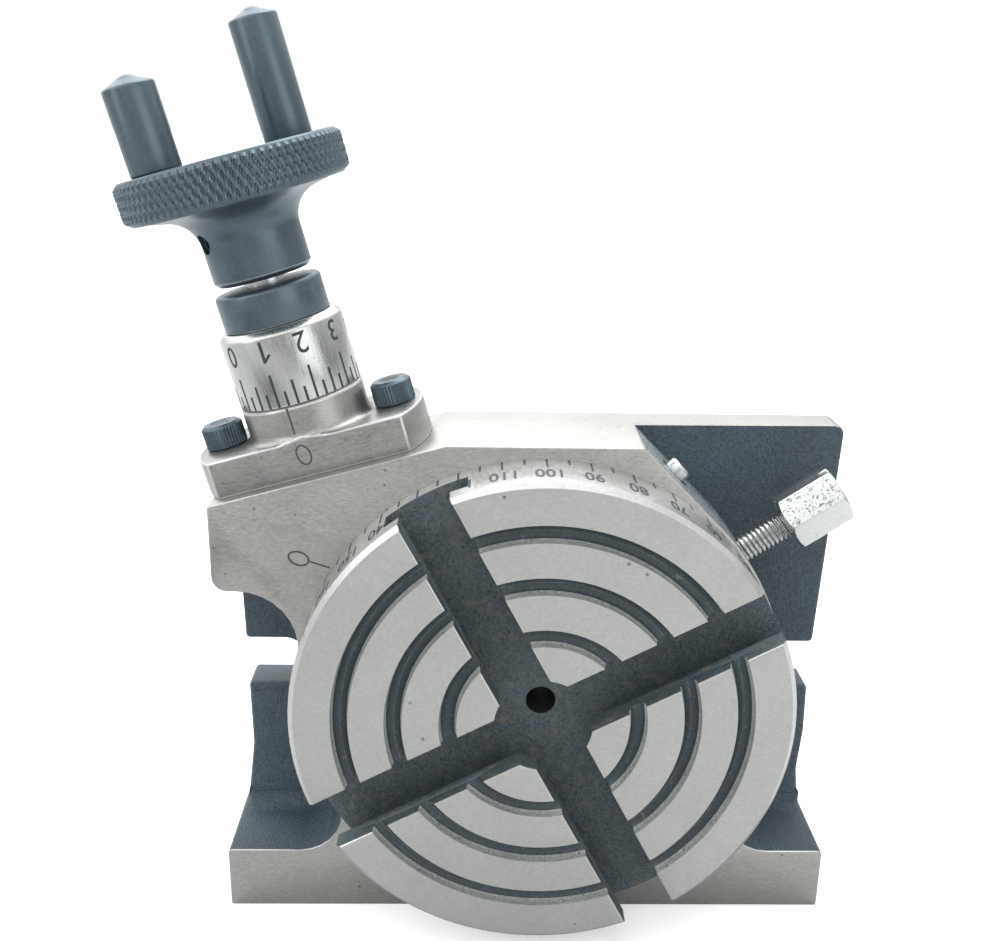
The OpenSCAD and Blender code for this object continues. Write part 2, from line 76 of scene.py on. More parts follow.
FACE_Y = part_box("table_disc")[0].y
CENTRE = Vector(joint("table_rotation")["pos_m"])
TABLE = axes((CENTRE.x, FACE_Y, CENTRE.z), (0, -1, 0), (0, 0, 1))
WORM = axes(joint("handwheel_rotation")["pos_m"], joint("handwheel_rotation")["axis"], (0, 1, 0))
LOCK = axes((CENTRE.x, joint("lock_turning")["pos_m"][1], CENTRE.z), joint("lock_turning")["axis"],
            (0, 1, 0))
WORM_LEAN = math.atan2(WORM[0][2], WORM[2][2])
TABLE_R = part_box("table_disc")[1].x
SLOTS = [math.radians(28 + 90 * k) for k in range(4)]
SLOT_HALF = 9 * MM
SLOT_FLOOR = 11.2 * MM
GROOVES = (18.8 * MM, 29.5 * MM, 40 * MM)
SCREW_OUT = 18 * MM
BOSS_R = 12.6 * MM
DIAL_R = 12.5 * MM
DIAL_PHASE = -90 - 47.5
BODY_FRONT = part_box("body_casting")[0].y
BODY_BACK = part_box("body_casting")[1].y


def station(node, side):
    """The lowest (side 0) or highest (side 1) station of a node along the worm axis."""
    to_worm = WORM.inverted()
    heights = [(to_worm @ v.co).z for v in NODES[node].data.vertices]
    return (min, max)[side](heights)


# ------------------------------------------------------------------ what a user would change

class StageSizes(bpy.types.PropertyGroup):
    floor_size: bpy.props.FloatProperty(
        name="Floor size", description="Width of the square floor",
        default=12.0, min=1.0, subtype="DISTANCE", unit="LENGTH")
    floor_colour: bpy.props.FloatVectorProperty(
        name="Floor colour", description="Colour of the floor",
        default=(0.9, 0.9, 0.9), size=3, min=0.0, max=1.0, subtype="COLOR")
    floor_glow: bpy.props.FloatProperty(
        name="Floor glow", description="Light the floor gives by itself",
        default=0.4, min=0.0, max=2.0)
    floor_mirrored: bpy.props.FloatProperty(
        name="Mirrored floor", description="Brightness of the floor as the metal mirrors it",
        default=0.42, min=0.0, max=1.0)
    right_glow: bpy.props.FloatProperty(
        name="Right glow", description="Brightness of the wide soft light at the front right",
        default=1.5, min=0.0, max=6.0)
    key_power: bpy.props.FloatProperty(
        name="Key light", description="Power of the soft box above",
        default=4.0, min=0.0, subtype="POWER", unit="POWER")
    side_power: bpy.props.FloatProperty(
        name="Side light", description="Power of the tall soft box on the left",
        default=1.0, min=0.0, subtype="POWER", unit="POWER")


class FinishColours(bpy.types.PropertyGroup):
    iron: bpy.props.FloatVectorProperty(
        name="Milled iron", description="Colour of the milled faces",
        default=(0.425, 0.425, 0.41), size=3, min=0.0, max=1.0, subtype="COLOR")
    ground: bpy.props.FloatVectorProperty(
        name="Ground iron", description="Colour of the ground table face",
        default=(0.51, 0.52, 0.51), size=3, min=0.0, max=1.0, subtype="COLOR")
    paint: bpy.props.FloatVectorProperty(
        name="Paint", description="Colour of the painted casting",
        default=(0.046, 0.074, 0.094), size=3, min=0.0, max=1.0, subtype="COLOR")
    oxide: bpy.props.FloatVectorProperty(
        name="Black oxide", description="Colour of the blackened steel",
        default=(0.11, 0.148, 0.174), size=3, min=0.0, max=1.0, subtype="COLOR")
    slot: bpy.props.FloatVectorProperty(
        name="Slot skin", description="Colour of the rough walls of the T-slots",
        default=(0.085, 0.115, 0.128), size=3, min=0.0, max=1.0, subtype="COLOR")


class EdgeSizes(bpy.types.PropertyGroup):
    milled: bpy.props.FloatProperty(
        name="Milled edge", description="Width of a broken edge on a milled face",
        default=0.35 * MM, min=0.0, subtype="DISTANCE", unit="LENGTH")
    cast: bpy.props.FloatProperty(
        name="Cast edge", description="Width of a rounded edge under paint",
        default=0.9 * MM, min=0.0, subtype="DISTANCE", unit="LENGTH")
    turned: bpy.props.FloatProperty(
        name="Turned edge", description="Width of a broken edge on a turned part",
        default=0.25 * MM, min=0.0, subtype="DISTANCE", unit="LENGTH")


class ScaleSizes(bpy.types.PropertyGroup):
    rim_digits: bpy.props.FloatProperty(
        name="Rim digits", description="Height of the digits on the rim of the table",
        default=4.9 * MM, min=0.001, subtype="DISTANCE", unit="LENGTH")
    rim_narrow: bpy.props.FloatProperty(
        name="Rim digit width", description="Width of a rim digit as a share of a plain one",
        default=0.6, min=0.2, max=1.0, subtype="FACTOR")
    dial_digits: bpy.props.FloatProperty(
        name="Dial digits", description="Height of the digits on the dial",
        default=4.2 * MM, min=0.001, subtype="DISTANCE", unit="LENGTH")
    line: bpy.props.FloatProperty(
        name="Line width", description="Width of a line of the dial",
        default=0.5 * MM, min=0.0001, subtype="DISTANCE", unit="LENGTH")
    ink: bpy.props.FloatProperty(
        name="Ink height", description="How far the filled lines stand out",
        default=0.025 * MM, min=0.0, subtype="DISTANCE", unit="LENGTH")


class KnurlSizes(bpy.types.PropertyGroup):
    pitch_count: bpy.props.IntProperty(
        name="Knurls", description="Knurls round the handwheel",
        default=84, min=24, max=200)
    rows: bpy.props.IntProperty(
        name="Rows", description="Rows of knurls across the rim",
        default=2, min=1, max=8)
    depth: bpy.props.FloatProperty(
        name="Depth", description="Depth of the knurls",
        default=0.6 * MM, min=0.0, subtype="DISTANCE", unit="LENGTH")
    screw_ridges: bpy.props.IntProperty(
        name="Screw ridges", description="Ridges round the head of a cap screw",
        default=40, min=12, max=80)


# ------------------------------------------------------------------ finishes

def add(tree, kind, inputs=None, **settings):
    """Adds a node; an input is a value or the socket it is linked to."""
    made = tree.nodes.new(kind)
    for key, value in settings.items():
        setattr(made, key, value)
    for key, value in (inputs or {}).items():
        if isinstance(value, bpy.types.NodeSocket):
            tree.links.new(value, made.inputs[key])
        else:
            made.inputs[key].default_value = value
    return made


def ranged(tree, value, low, high, start=0.0, end=1.0, ease="LINEAR"):
    """A value mapped from low..high to start..end, and held beyond both."""
    inputs = {"Value": value, "From Min": low, "From Max": high, "To Min": start, "To Max": end}
    return add(tree, "ShaderNodeMapRange", inputs, interpolation_type=ease).outputs["Result"]


def reckon(tree, operation, *values, clamp=False):
    """One step of arithmetic on numbers and sockets."""
    made = add(tree, "ShaderNodeMath", dict(enumerate(values)), operation=operation, use_clamp=clamp)
    return made.outputs[0]


def cloud(tree, given, scale, detail, roughness=0.5):
    inputs = {"Vector": given["Vector"], "Scale": given[scale], "Detail": detail, "Roughness": roughness}
    return add(tree, "ShaderNodeTexNoise", inputs).outputs["Fac"]


def tool_grain(tree, given):
    """Fine marks of the tool, which a stretched place draws out into streaks."""
    return ranged(tree, cloud(tree, given, "Scale", 5.0, 0.62), 0.32, 0.68)


def pores(tree, given):
    """Small round pits that come in groups."""
    cells = add(tree, "ShaderNodeTexVoronoi", {"Vector": given["Vector"], "Scale": given["Scale"]})
    dots = ranged(tree, cells.outputs["Distance"], given["Size"], 0.0)
    some = ranged(tree, cloud(tree, given, "Spread", 2.0), 0.52, 0.6)
    return reckon(tree, "MULTIPLY", dots, some)


def patches(tree, given):
    """Soft patches, wherever the noise rises above Level."""
    top = reckon(tree, "ADD", given["Level"], 0.12)
    return ranged(tree, cloud(tree, given, "Scale", 4.0, 0.7), given["Level"], top)


EFFECTS = {
    "tool grain": (tool_grain, ("Scale",)),
    "pores": (pores, ("Scale", "Size", "Spread")),
    "patches": (patches, ("Scale", "Level")),
}
GROUPS = {}
FINISHES = {}


def effect_group(name, inputs, build):
    """A node group with a vector and named values in, and one Value out."""
    group = bpy.data.node_groups.new(name, "ShaderNodeTree")
    group.interface.new_socket(name="Vector", in_out="INPUT", socket_type="NodeSocketVector")
    for key in inputs:
        group.interface.new_socket(name=key, in_out="INPUT", socket_type="NodeSocketFloat")
    group.interface.new_socket(name="Value", in_out="OUTPUT", socket_type="NodeSocketFloat")
    source = add(group, "NodeGroupInput")
    result = build(group, source.outputs)
    group.links.new(result, add(group, "NodeGroupOutput").inputs["Value"])
    return group


def effect(tree, name, vector, **inputs):
    """Adds the node of an effect, whose group is built the first time it is used."""
    if name not in GROUPS:
        build, keys = EFFECTS[name]
        GROUPS[name] = effect_group(name, keys, build)
    return add(tree, "ShaderNodeGroup", {"Vector": vector, **inputs}, node_tree=GROUPS[name]).outputs["Value"]


def scaled(colour, share):
    return tuple(min(1.0, c * share) for c in colour)


def opaque(colour):
    return (*colour, 1.0)


def blend_colour(tree, mask, low, high):
    mixed = add(tree, "ShaderNodeMix", {"Factor": mask, "A": low, "B": high}, data_type="RGBA")
    return mixed.outputs["Result"]


BROAD_GRAIN = 90.0
FINE_SHARE = 0.75
BUMP_STRENGTH = 0.6


def finish_material(name, colour, metallic, roughness, grain, stretch, contrast, rough_swing, bump,
                    patch=None, pore=None, turn=0.0):
    """A procedural finish. Grain is the scale of the tool marks, stretched along the axes after a turn about
    Y; contrast and rough_swing are how far they change colour and roughness, and bump is their height in mm.
    patch is (scale, level, colour, roughness) and pore is (scale, size, spread, colour)."""
    material = bpy.data.materials.new(name)
    material.use_nodes = True
    tree = material.node_tree
    shader = tree.nodes["Principled BSDF"]
    place = add(tree, "ShaderNodeTexCoord").outputs["Object"]
    along = add(tree, "ShaderNodeMapping", {"Vector": place, "Scale": stretch, "Rotation": (0, turn, 0)},
                vector_type="TEXTURE").outputs["Vector"]
    fine = effect(tree, "tool grain", along, Scale=grain)
    broad = effect(tree, "tool grain", place, Scale=BROAD_GRAIN)
    tone = reckon(tree, "MULTIPLY_ADD", broad, 1 - FINE_SHARE, reckon(tree, "MULTIPLY", fine, FINE_SHARE))
    darker, lighter = (opaque(scaled(colour, 1 + swing)) for swing in (-contrast, contrast))
    shade = blend_colour(tree, tone, darker, lighter)
    rough = ranged(tree, tone, 0.0, 1.0, roughness - rough_swing, roughness + rough_swing)
    height = fine
    if patch:
        scale, level, patch_colour, patch_rough = patch
        mask = effect(tree, "patches", place, Scale=scale, Level=level)
        shade = blend_colour(tree, mask, shade, opaque(patch_colour))
        rough = add(tree, "ShaderNodeMix", {"Factor": mask, "A": rough, "B": patch_rough},
                    data_type="FLOAT").outputs["Result"]
    if pore:
        scale, size, spread, pore_colour = pore
        mask = effect(tree, "pores", place, Scale=scale, Size=size, Spread=spread)
        shade = blend_colour(tree, mask, shade, opaque(pore_colour))
        height = reckon(tree, "SUBTRACT", fine, mask)
    relief = add(tree, "ShaderNodeBump", {"Height": height, "Strength": BUMP_STRENGTH, "Distance": bump * MM})
    tree.links.new(shade, shader.inputs["Base Color"])
    tree.links.new(rough, shader.inputs["Roughness"])
    tree.links.new(relief.outputs["Normal"], shader.inputs["Normal"])
    shader.inputs["Metallic"].default_value = metallic
    FINISHES[name] = material


def make_finishes(colours):
    """Every finish; the numbers stand in the order that finish_material names them."""
    iron, ground, paint, oxide, slot = (
        tuple(getattr(colours, key)) for key in ("iron", "ground", "paint", "oxide", "slot"))
    dark_pore = (0.05, 0.055, 0.055)
    even = (1, 1, 1)
    # milled, ground and turned iron
    finish_material("milled_iron", iron, 0.92, 0.36, 3000, (3, 1, 1), 0.2, 0.08, 0.004,
                    patch=(45, 0.60, scaled(iron, 0.88), 0.42), pore=(420, 0.16, 120, dark_pore))
    finish_material("brushed_iron", scaled(iron, 0.84), 0.92, 0.36, 3000, (4, 1, 1), 0.26, 0.1, 0.007,
                    patch=(1100, 0.64, dark_pore, 0.5), pore=(600, 0.2, 140, dark_pore), turn=-0.26)
    finish_material("ground_face", ground, 0.9, 0.42, 2400, (1.6, 1, 1), 0.12, 0.06, 0.010,
                    patch=(60, 0.62, scaled(ground, 0.93), 0.45), pore=(160, 0.08, 60, dark_pore))
    finish_material("turned_iron", (0.60, 0.605, 0.59), 0.92, 0.34, 1800, (1, 3, 1), 0.10, 0.06, 0.010,
                    pore=(500, 0.14, 90, dark_pore))
    finish_material("bright_edge", (0.62, 0.63, 0.61), 0.95, 0.3, 2600, even, 0.15, 0.06, 0.01)
    # paint, and the rough skin of slots, grooves and bores
    finish_material("casting_paint", paint, 0.0, 0.38, 2000, even, 0.6, 0.10, 0.3,
                    patch=(2600, 0.59, (0.17, 0.20, 0.22), 0.5),
                    pore=(1500, 0.35, 900, (0.012, 0.018, 0.025)))
    finish_material("worn_paint", scaled(paint, 1.6), 0.2, 0.42, 2000, even, 0.5, 0.10, 0.3,
                    patch=(1600, 0.47, (0.42, 0.45, 0.43), 0.45),
                    pore=(900, 0.3, 500, (0.015, 0.022, 0.03)))
    finish_material("slot_skin", slot, 0.25, 0.46, 1900, even, 0.6, 0.12, 0.16,
                    patch=(420, 0.53, (0.16, 0.155, 0.14), 0.55),
                    pore=(900, 0.35, 400, (0.02, 0.028, 0.03)))
    finish_material("bore_shadow", (0.02, 0.024, 0.025), 0.3, 0.6, 1500, even, 0.3, 0.1, 0.02)
    finish_material("groove_oxide", (0.05, 0.07, 0.08), 0.3, 0.4, 1500, even, 0.35, 0.1, 0.03,
                    patch=(600, 0.62, (0.16, 0.18, 0.18), 0.4))
    finish_material("groove_wall", (0.40, 0.42, 0.41), 0.2, 0.5, 2200, even, 0.45, 0.1, 0.05,
                    patch=(1500, 0.56, (0.11, 0.12, 0.12), 0.5))
    # steel, blackened, bright and plated, and bronze
    finish_material("black_oxide", oxide, 0.8, 0.34, 1700, even, 0.14, 0.07, 0.012,
                    patch=(110, 0.62, scaled(oxide, 1.3), 0.4))
    finish_material("oxide_edge", (0.26, 0.29, 0.30), 0.85, 0.32, 2000, even, 0.3, 0.08, 0.01)
    finish_material("satin_steel", (0.53, 0.55, 0.54), 0.97, 0.2, 3000, (1, 1, 9), 0.16, 0.08, 0.014,
                    patch=(700, 0.6, (0.46, 0.47, 0.47), 0.4), turn=WORM_LEAN)
    finish_material("bright_steel", (0.6, 0.61, 0.61), 0.97, 0.24, 1800, even, 0.06, 0.05, 0.006)
    finish_material("zinc_plate", (0.70, 0.72, 0.71), 0.97, 0.22, 1600, even, 0.08, 0.06, 0.012,
                    patch=(350, 0.62, (0.55, 0.57, 0.57), 0.34))
    finish_material("zinc_speckle", (0.70, 0.72, 0.71), 0.95, 0.28, 1500, even, 0.25, 0.1, 0.09,
                    patch=(1500, 0.5, (0.16, 0.17, 0.17), 0.45))
    finish_material("thread_zinc", (0.42, 0.43, 0.43), 0.95, 0.26, 1600, even, 0.2, 0.08, 0.01)
    finish_material("bronze", (0.50, 0.33, 0.14), 0.95, 0.34, 1800, even, 0.12, 0.08, 0.012)
    # the marks of the scales
    finish_material("scale_ink", (0.03, 0.038, 0.042), 0.0, 0.5, 2500, even, 0.3, 0.1, 0.01)
    finish_material("stamped_line", (0.085, 0.087, 0.085), 0.3, 0.5, 2500, even, 0.4, 0.1, 0.01)


# ------------------------------------------------------------------ modelling helpers

def everything(bm):
    return bm.verts[:] + bm.edges[:] + bm.faces[:]


def node_mesh(node):
    """A merged copy of a CAD node, its flat faces whole again."""
    bm = bmesh.new()
    bm.from_mesh(NODES[node].data)
    bmesh.ops.remove_doubles(bm, verts=bm.verts, dist=0.002 * MM)
    bmesh.ops.dissolve_limit(bm, angle_limit=math.radians(0.6), verts=bm.verts, edges=bm.edges,
                             delimit={"NORMAL"})
    bmesh.ops.recalc_face_normals(bm, faces=bm.faces)
    return bm


def mark_faces(bm, rule):
    """Gives each face the number of its material, by its centre and its normal."""
    for face in bm.faces:
        face.material_index = rule(face.calc_center_median(), face.normal)


def break_edges(bm, width, material=-1, chosen=None, steepest=25, segments=2):
    """Bevels the outer corners sharper than steepest degrees."""
    corners = [e for e in bm.edges if len(e.link_faces) == 2 and e.is_convex
               and e.calc_face_angle(0) > math.radians(steepest) and e.calc_length() > 0.02 * MM
               and (chosen is None or chosen(e))]
    bmesh.ops.bevel(bm, geom=corners, offset=width, offset_type="OFFSET", segments=segments, profile=0.5,
                    affect="EDGES", material=material, clamp_overlap=False, loop_slide=True)


def piece(name, bm, materials, body, replaces=(), smooth=30):
    """The object of a drawing, on its body and in its slot, sharp where it turns more than smooth degrees."""
    mesh = bpy.data.meshes.new(name)
    bm.to_mesh(mesh)
    bm.free()
    for material in materials:
        mesh.materials.append(FINISHES[material])
    mesh.shade_smooth()
    mesh.set_sharp_from_angle(angle=math.radians(smooth))
    made = bpy.data.objects.new(name, mesh)
    bpy.context.scene.collection.objects.link(made)
    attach(made, body)
    if replaces:
        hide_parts(*replaces)
    return made


def edged_copy(name, node, material, body, width, edge=None):
    """A CAD node as it is, with its corners broken."""
    bm = node_mesh(node)
    mark_faces(bm, lambda centre, normal: 0)
    break_edges(bm, width, 1 if edge else -1)
    return piece(name, bm, [material, edge or material], body, [node])


def slice_along(bm, step):
    """Cuts a flat drawing across its X, so that it can follow a curve."""
    reach = max(abs(v.co.x) for v in bm.verts)
    for i in range(-int(reach / step), int(reach / step) + 1):
        bmesh.ops.bisect_plane(bm, geom=everything(bm), plane_co=(i * step, 0, 0), plane_no=(1, 0, 0))


def lettering(text, height, narrow, thick, bold):
    """A word as a solid, centred on the origin, reading along X; bold fattens its strokes."""
    curve = bpy.data.curves.new("word", "FONT")
    curve.body = text
    curve.extrude = 0.05
    curve.offset = bold
    curve.resolution_u = 4
    word = bpy.data.objects.new("word", curve)
    bpy.context.scene.collection.objects.link(word)
    drawn = bpy.data.meshes.new_from_object(word.evaluated_get(bpy.context.evaluated_depsgraph_get()))
    bm = bmesh.new()
    bm.from_mesh(drawn)
    bpy.data.objects.remove(word)
    bpy.data.curves.remove(curve)
    bpy.data.meshes.remove(drawn)
    low = Vector([min(v.co[i] for v in bm.verts) for i in range(3)])
    high = Vector([max(v.co[i] for v in bm.verts) for i in range(3)])
    share = height / (high.y - low.y)
    for vert in bm.verts:
        vert.co = (vert.co - (low + high) / 2) * share
        vert.co.x *= narrow
        vert.co.z = math.copysign(thick, vert.co.z)
    bmesh.ops.remove_doubles(bm, verts=bm.verts, dist=0.001 * MM)
    return bm


def bar(width, length, thick):
    """A line of a scale as a solid, its lower end on the X axis."""
    bm = bmesh.new()
    size = Matrix.Diagonal((width, length, 2 * thick, 1))
    bmesh.ops.create_cube(bm, size=1, matrix=Matrix.Translation((0, length / 2, 0)) @ size)
    return bm


def oval(length, width, stroke, thick):
    """A stamped nought as a solid ring, its long way along Y."""
    bm = bmesh.new()
    edges = []
    for grow in (0, -stroke):
        edge_ring = ring_of(bm, 48, 1, 0)
        for vert in {v for e in edge_ring for v in e.verts}:
            vert.co.x *= width / 2 + grow
            vert.co.y *= length / 2 + grow
        edges += edge_ring
    bmesh.ops.bridge_loops(bm, edges=edges)
    bmesh.ops.solidify(bm, geom=bm.faces[:], thickness=thick)
    bmesh.ops.recalc_face_normals(bm, faces=bm.faces)
    return bm


def join(target, source, place):
    """Adds source to target, each of its points moved by place."""
    for vert in source.verts:
        vert.co = place(vert.co)
    mesh = bpy.data.meshes.new("part")
    source.to_mesh(mesh)
    source.free()
    target.from_mesh(mesh)
    bpy.data.meshes.remove(mesh)


def round_the(matrix, radius, angle, height, upside_down=False):
    """Wraps a flat drawing on a cylinder, its origin at that angle and height."""
    flip = -1 if upside_down else 1

    def place(point):
        turn = angle + flip * point.x / radius
        out = radius + point.z
        return matrix @ Vector((out * math.cos(turn), out * math.sin(turn), height + flip * point.y))
    return place


def ring_of(bm, count, radius, height, phase=0.0):
    """An open ring of points."""
    matrix = Matrix.Translation((0, 0, height)) @ Matrix.Rotation(phase, 4, "Z")
    made = bmesh.ops.create_circle(bm, cap_ends=False, radius=radius, segments=count, matrix=matrix)["verts"]
    return list({e for v in made for e in v.link_edges})


def extruded_ring(bm, edges, move):
    """Extrudes a ring of edges and moves the new points."""
    made = bmesh.ops.extrude_edge_only(bm, edges=edges)["geom"]
    verts = [g for g in made if isinstance(g, bmesh.types.BMVert)]
    for vert in verts:
        vert.co = move(vert.co.copy())
    return [g for g in made if isinstance(g, bmesh.types.BMEdge)]


def shifted(rise, share=1.0):
    return lambda point: Vector((point.x * share, point.y * share, point.z + rise))


# ------------------------------------------------------------------ pieces

def build_casting(edges):
    """The casting: front, back, foot, top, seat and bores are milled, the sloping wall is worn, the rest is
    painted."""
    milled, painted, broken, worn = range(4)
    bm = node_mesh("body_casting")
    to_worm, to_lock = WORM.inverted(), LOCK.inverted()
    near = 0.15 * MM
    top_z = CENTRE.z + 52 * MM
    wall_x, wall_z = 20 * MM, CENTRE.z + 15 * MM
    worm_bore_r, chamber_r, screw_bore_r, lock_bore_r = 9 * MM, 37 * MM, 3 * MM, 3.2 * MM

    def rule(centre, normal):
        flat = abs(normal.y) > 0.99 and min(abs(centre.y - BODY_FRONT), abs(centre.y - BODY_BACK)) < near
        level = abs(normal.z) > 0.99 and (centre.z < near or centre.z > top_z)
        at = to_worm @ centre
        seat = (to_worm.to_3x3() @ normal).z > 0.99 and abs(at.z) < near
        bored = math.hypot(at.x, at.y) < worm_bore_r or math.hypot(centre.x, centre.z - CENTRE.z) < chamber_r
        screw_hole = (abs(abs(at.x) - SCREW_OUT) < screw_bore_r and abs(at.y) < screw_bore_r
                      and abs(normal.y) < 0.99)
        threaded = (to_lock @ centre).xy.length < lock_bore_r
        if flat or level or seat or bored or screw_hole or threaded:
            return milled
        sloping = normal.x > 0.5 and normal.z > 0.5 and centre.x > wall_x and centre.z > wall_z
        return worn if sloping else painted

    def under_paint(edge):
        return all(f.material_index in (painted, worn) for f in edge.link_faces)

    def beside_milled(edge):
        sides = {f.material_index for f in edge.link_faces}
        return milled in sides and broken not in sides

    mark_faces(bm, rule)
    break_edges(bm, edges.cast, painted, under_paint, segments=3)
    break_edges(bm, edges.milled, broken, beside_milled)
    piece("body_casting_finish", bm, ["milled_iron", "casting_paint", "milled_iron", "worn_paint"],
          "body", ["body_casting"])


def build_table(edges):
    """The table: ground face, turned rim, dark slots and grooves, and a bright edge round the face."""
    face, turned, groove_floor, skin, bright, bore, groove_wall = range(7)
    bm = node_mesh("table_disc")
    to_table = TABLE.inverted()
    bore_r, groove_half, groove_depth, groove_end = 4 * MM, 1.9 * MM, 2.7 * MM, 42 * MM
    rim_r = TABLE_R - 1.1 * MM

    def rule(centre, normal):
        at = to_table @ centre
        out = to_table.to_3x3() @ normal
        reach, depth = math.hypot(at.x, at.y), -at.z
        if out.z > 0.99 and depth < 0.05 * MM:
            return face
        if reach < bore_r:
            return bore
        on_rim = reach > rim_r and abs(out.x * at.y - out.y * at.x) < 0.1 * reach
        if depth > SLOT_FLOOR or on_rim:
            return turned
        if depth < groove_depth and min(abs(reach - g) for g in GROOVES) < groove_half and reach < groove_end:
            if out.z > 0.6:
                return groove_floor
            facing = abs(out.x * at.x + out.y * at.y) / reach
            return groove_wall if facing > 0.5 else skin
        return skin

    def round_face(edge):
        sides = {f.material_index for f in edge.link_faces}
        return face in sides and not sides & {turned, groove_wall}

    mark_faces(bm, rule)
    break_edges(bm, edges.turned, bright, round_face, steepest=50)
    piece("table_disc_finish", bm, ["ground_face", "turned_iron", "groove_oxide", "slot_skin", "bright_edge",
                                    "bore_shadow", "groove_wall"], "table", ["table_disc"])


def clear_of_slots(bm):
    """Cuts away what lies over the mouth of a T-slot, where the rim is open."""
    outer = 0.8 * TABLE_R
    beside = 16 * MM
    deepest = -11 * MM

    def close_to(out, across):
        return [v for v in bm.verts if v.co.dot(out) > outer and abs(v.co.dot(across)) < beside]

    for slot in SLOTS:
        out = Vector((math.cos(slot), math.sin(slot), 0))
        across = Vector((-out.y, out.x, 0))
        if not close_to(out, across):
            continue
        for side in (-1, 1):
            hit = {f for v in close_to(out, across) for f in v.link_faces}
            geometry = list({g for f in hit for g in (f, *f.edges, *f.verts)})
            bmesh.ops.bisect_plane(bm, geom=geometry, dist=0.001 * MM,
                                   plane_co=across * side * SLOT_HALF, plane_no=across * side)
        centres = {f: f.calc_center_median() for f in bm.faces}
        over = [f for f, at in centres.items()
                if abs(at.dot(across)) < SLOT_HALF and at.dot(out) > outer and at.z > deepest]
        bmesh.ops.delete(bm, geom=over, context="FACES")
    bmesh.ops.holes_fill(bm, edges=[e for e in bm.edges if e.is_boundary], sides=0)
    bmesh.ops.recalc_face_normals(bm, faces=bm.faces)


def build_rim_scale(sizes):
    """The 360 degrees on the rim, a line every five and a number every ten, wrapped round and cut at the
    slots."""
    bm = bmesh.new()
    back = BODY_FRONT - FACE_Y
    line_start, digits_at = 0.35 * MM - back, 9.3 * MM - back
    ten_line, five_line, slot_line, line_width = 5.2 * MM, 3.0 * MM, 4.2 * MM, 0.42 * MM
    phase = -10
    on_table = Matrix.Identity(4)
    for value in range(0, 360, 5):
        turn = math.radians(value + phase)
        numbered = value % 10 == 0
        over_slot = any(abs(math.sin(turn - slot)) * TABLE_R < SLOT_HALF and math.cos(turn - slot) > 0
                        for slot in SLOTS)
        length = ten_line if numbered else five_line
        if over_slot:
            length = min(length, slot_line)
        join(bm, bar(line_width, length, sizes.ink), round_the(on_table, TABLE_R, turn, line_start))
        if numbered:
            word = lettering(str(value), sizes.rim_digits, sizes.rim_narrow, sizes.ink, 0.014)
            slice_along(word, 0.6 * MM)
            join(bm, word, round_the(on_table, TABLE_R, turn, digits_at))
    clear_of_slots(bm)
    bm.transform(TABLE)
    piece("rim_scale", bm, ["scale_ink"], "table")


def build_datum(sizes):
    """The stamped nought and line on the milled front, which the rim scale is read against."""
    bm = bmesh.new()
    lean = math.radians(-18.7) - math.pi / 2
    front = Vector((CENTRE.x, BODY_FRONT, CENTRE.z))

    def on_front(x, z):
        matrix = axes(front + Vector((x, 0, z)), (0, -1, 0), (0, 0, 1)) @ Matrix.Rotation(lean, 4, "Z")
        return lambda point: matrix @ point

    join(bm, oval(4.5 * MM, 3.2 * MM, 0.4 * MM, sizes.ink), on_front(-48.9 * MM, 28.7 * MM))
    join(bm, bar(0.35 * MM, 4.2 * MM, sizes.ink), on_front(-46.7 * MM, 28.1 * MM))
    piece("datum_mark", bm, ["stamped_line"], "body")


def build_sleeve(edges):
    bm = node_mesh("worm_sleeve")
    mark_faces(bm, lambda centre, normal: 0)
    break_edges(bm, edges.milled, 1)
    piece("worm_sleeve_finish", bm, ["brushed_iron", "turned_iron"], "body", ["worm_sleeve"])


def build_index(sizes):
    """The line on the boss, and the stamped nought on the flange below it."""
    bm = bmesh.new()
    flange_front, top = 13 * MM, station("worm_sleeve", 1)
    line_turn, nought_lean = math.radians(-95.6), 0.16
    join(bm, bar(0.4 * MM, 5.9 * MM, sizes.ink), round_the(WORM, BOSS_R, line_turn, top - 6 * MM))
    matrix = WORM @ axes((-0.7 * MM, -flange_front, 4.6 * MM), (0, -1, 0), (0, 0, 1))
    lean = Matrix.Rotation(nought_lean, 4, "Z")
    join(bm, oval(4.4 * MM, 3.0 * MM, 0.36 * MM, sizes.ink), lambda point: matrix @ lean @ point)
    piece("index_mark", bm, ["stamped_line"], "body")


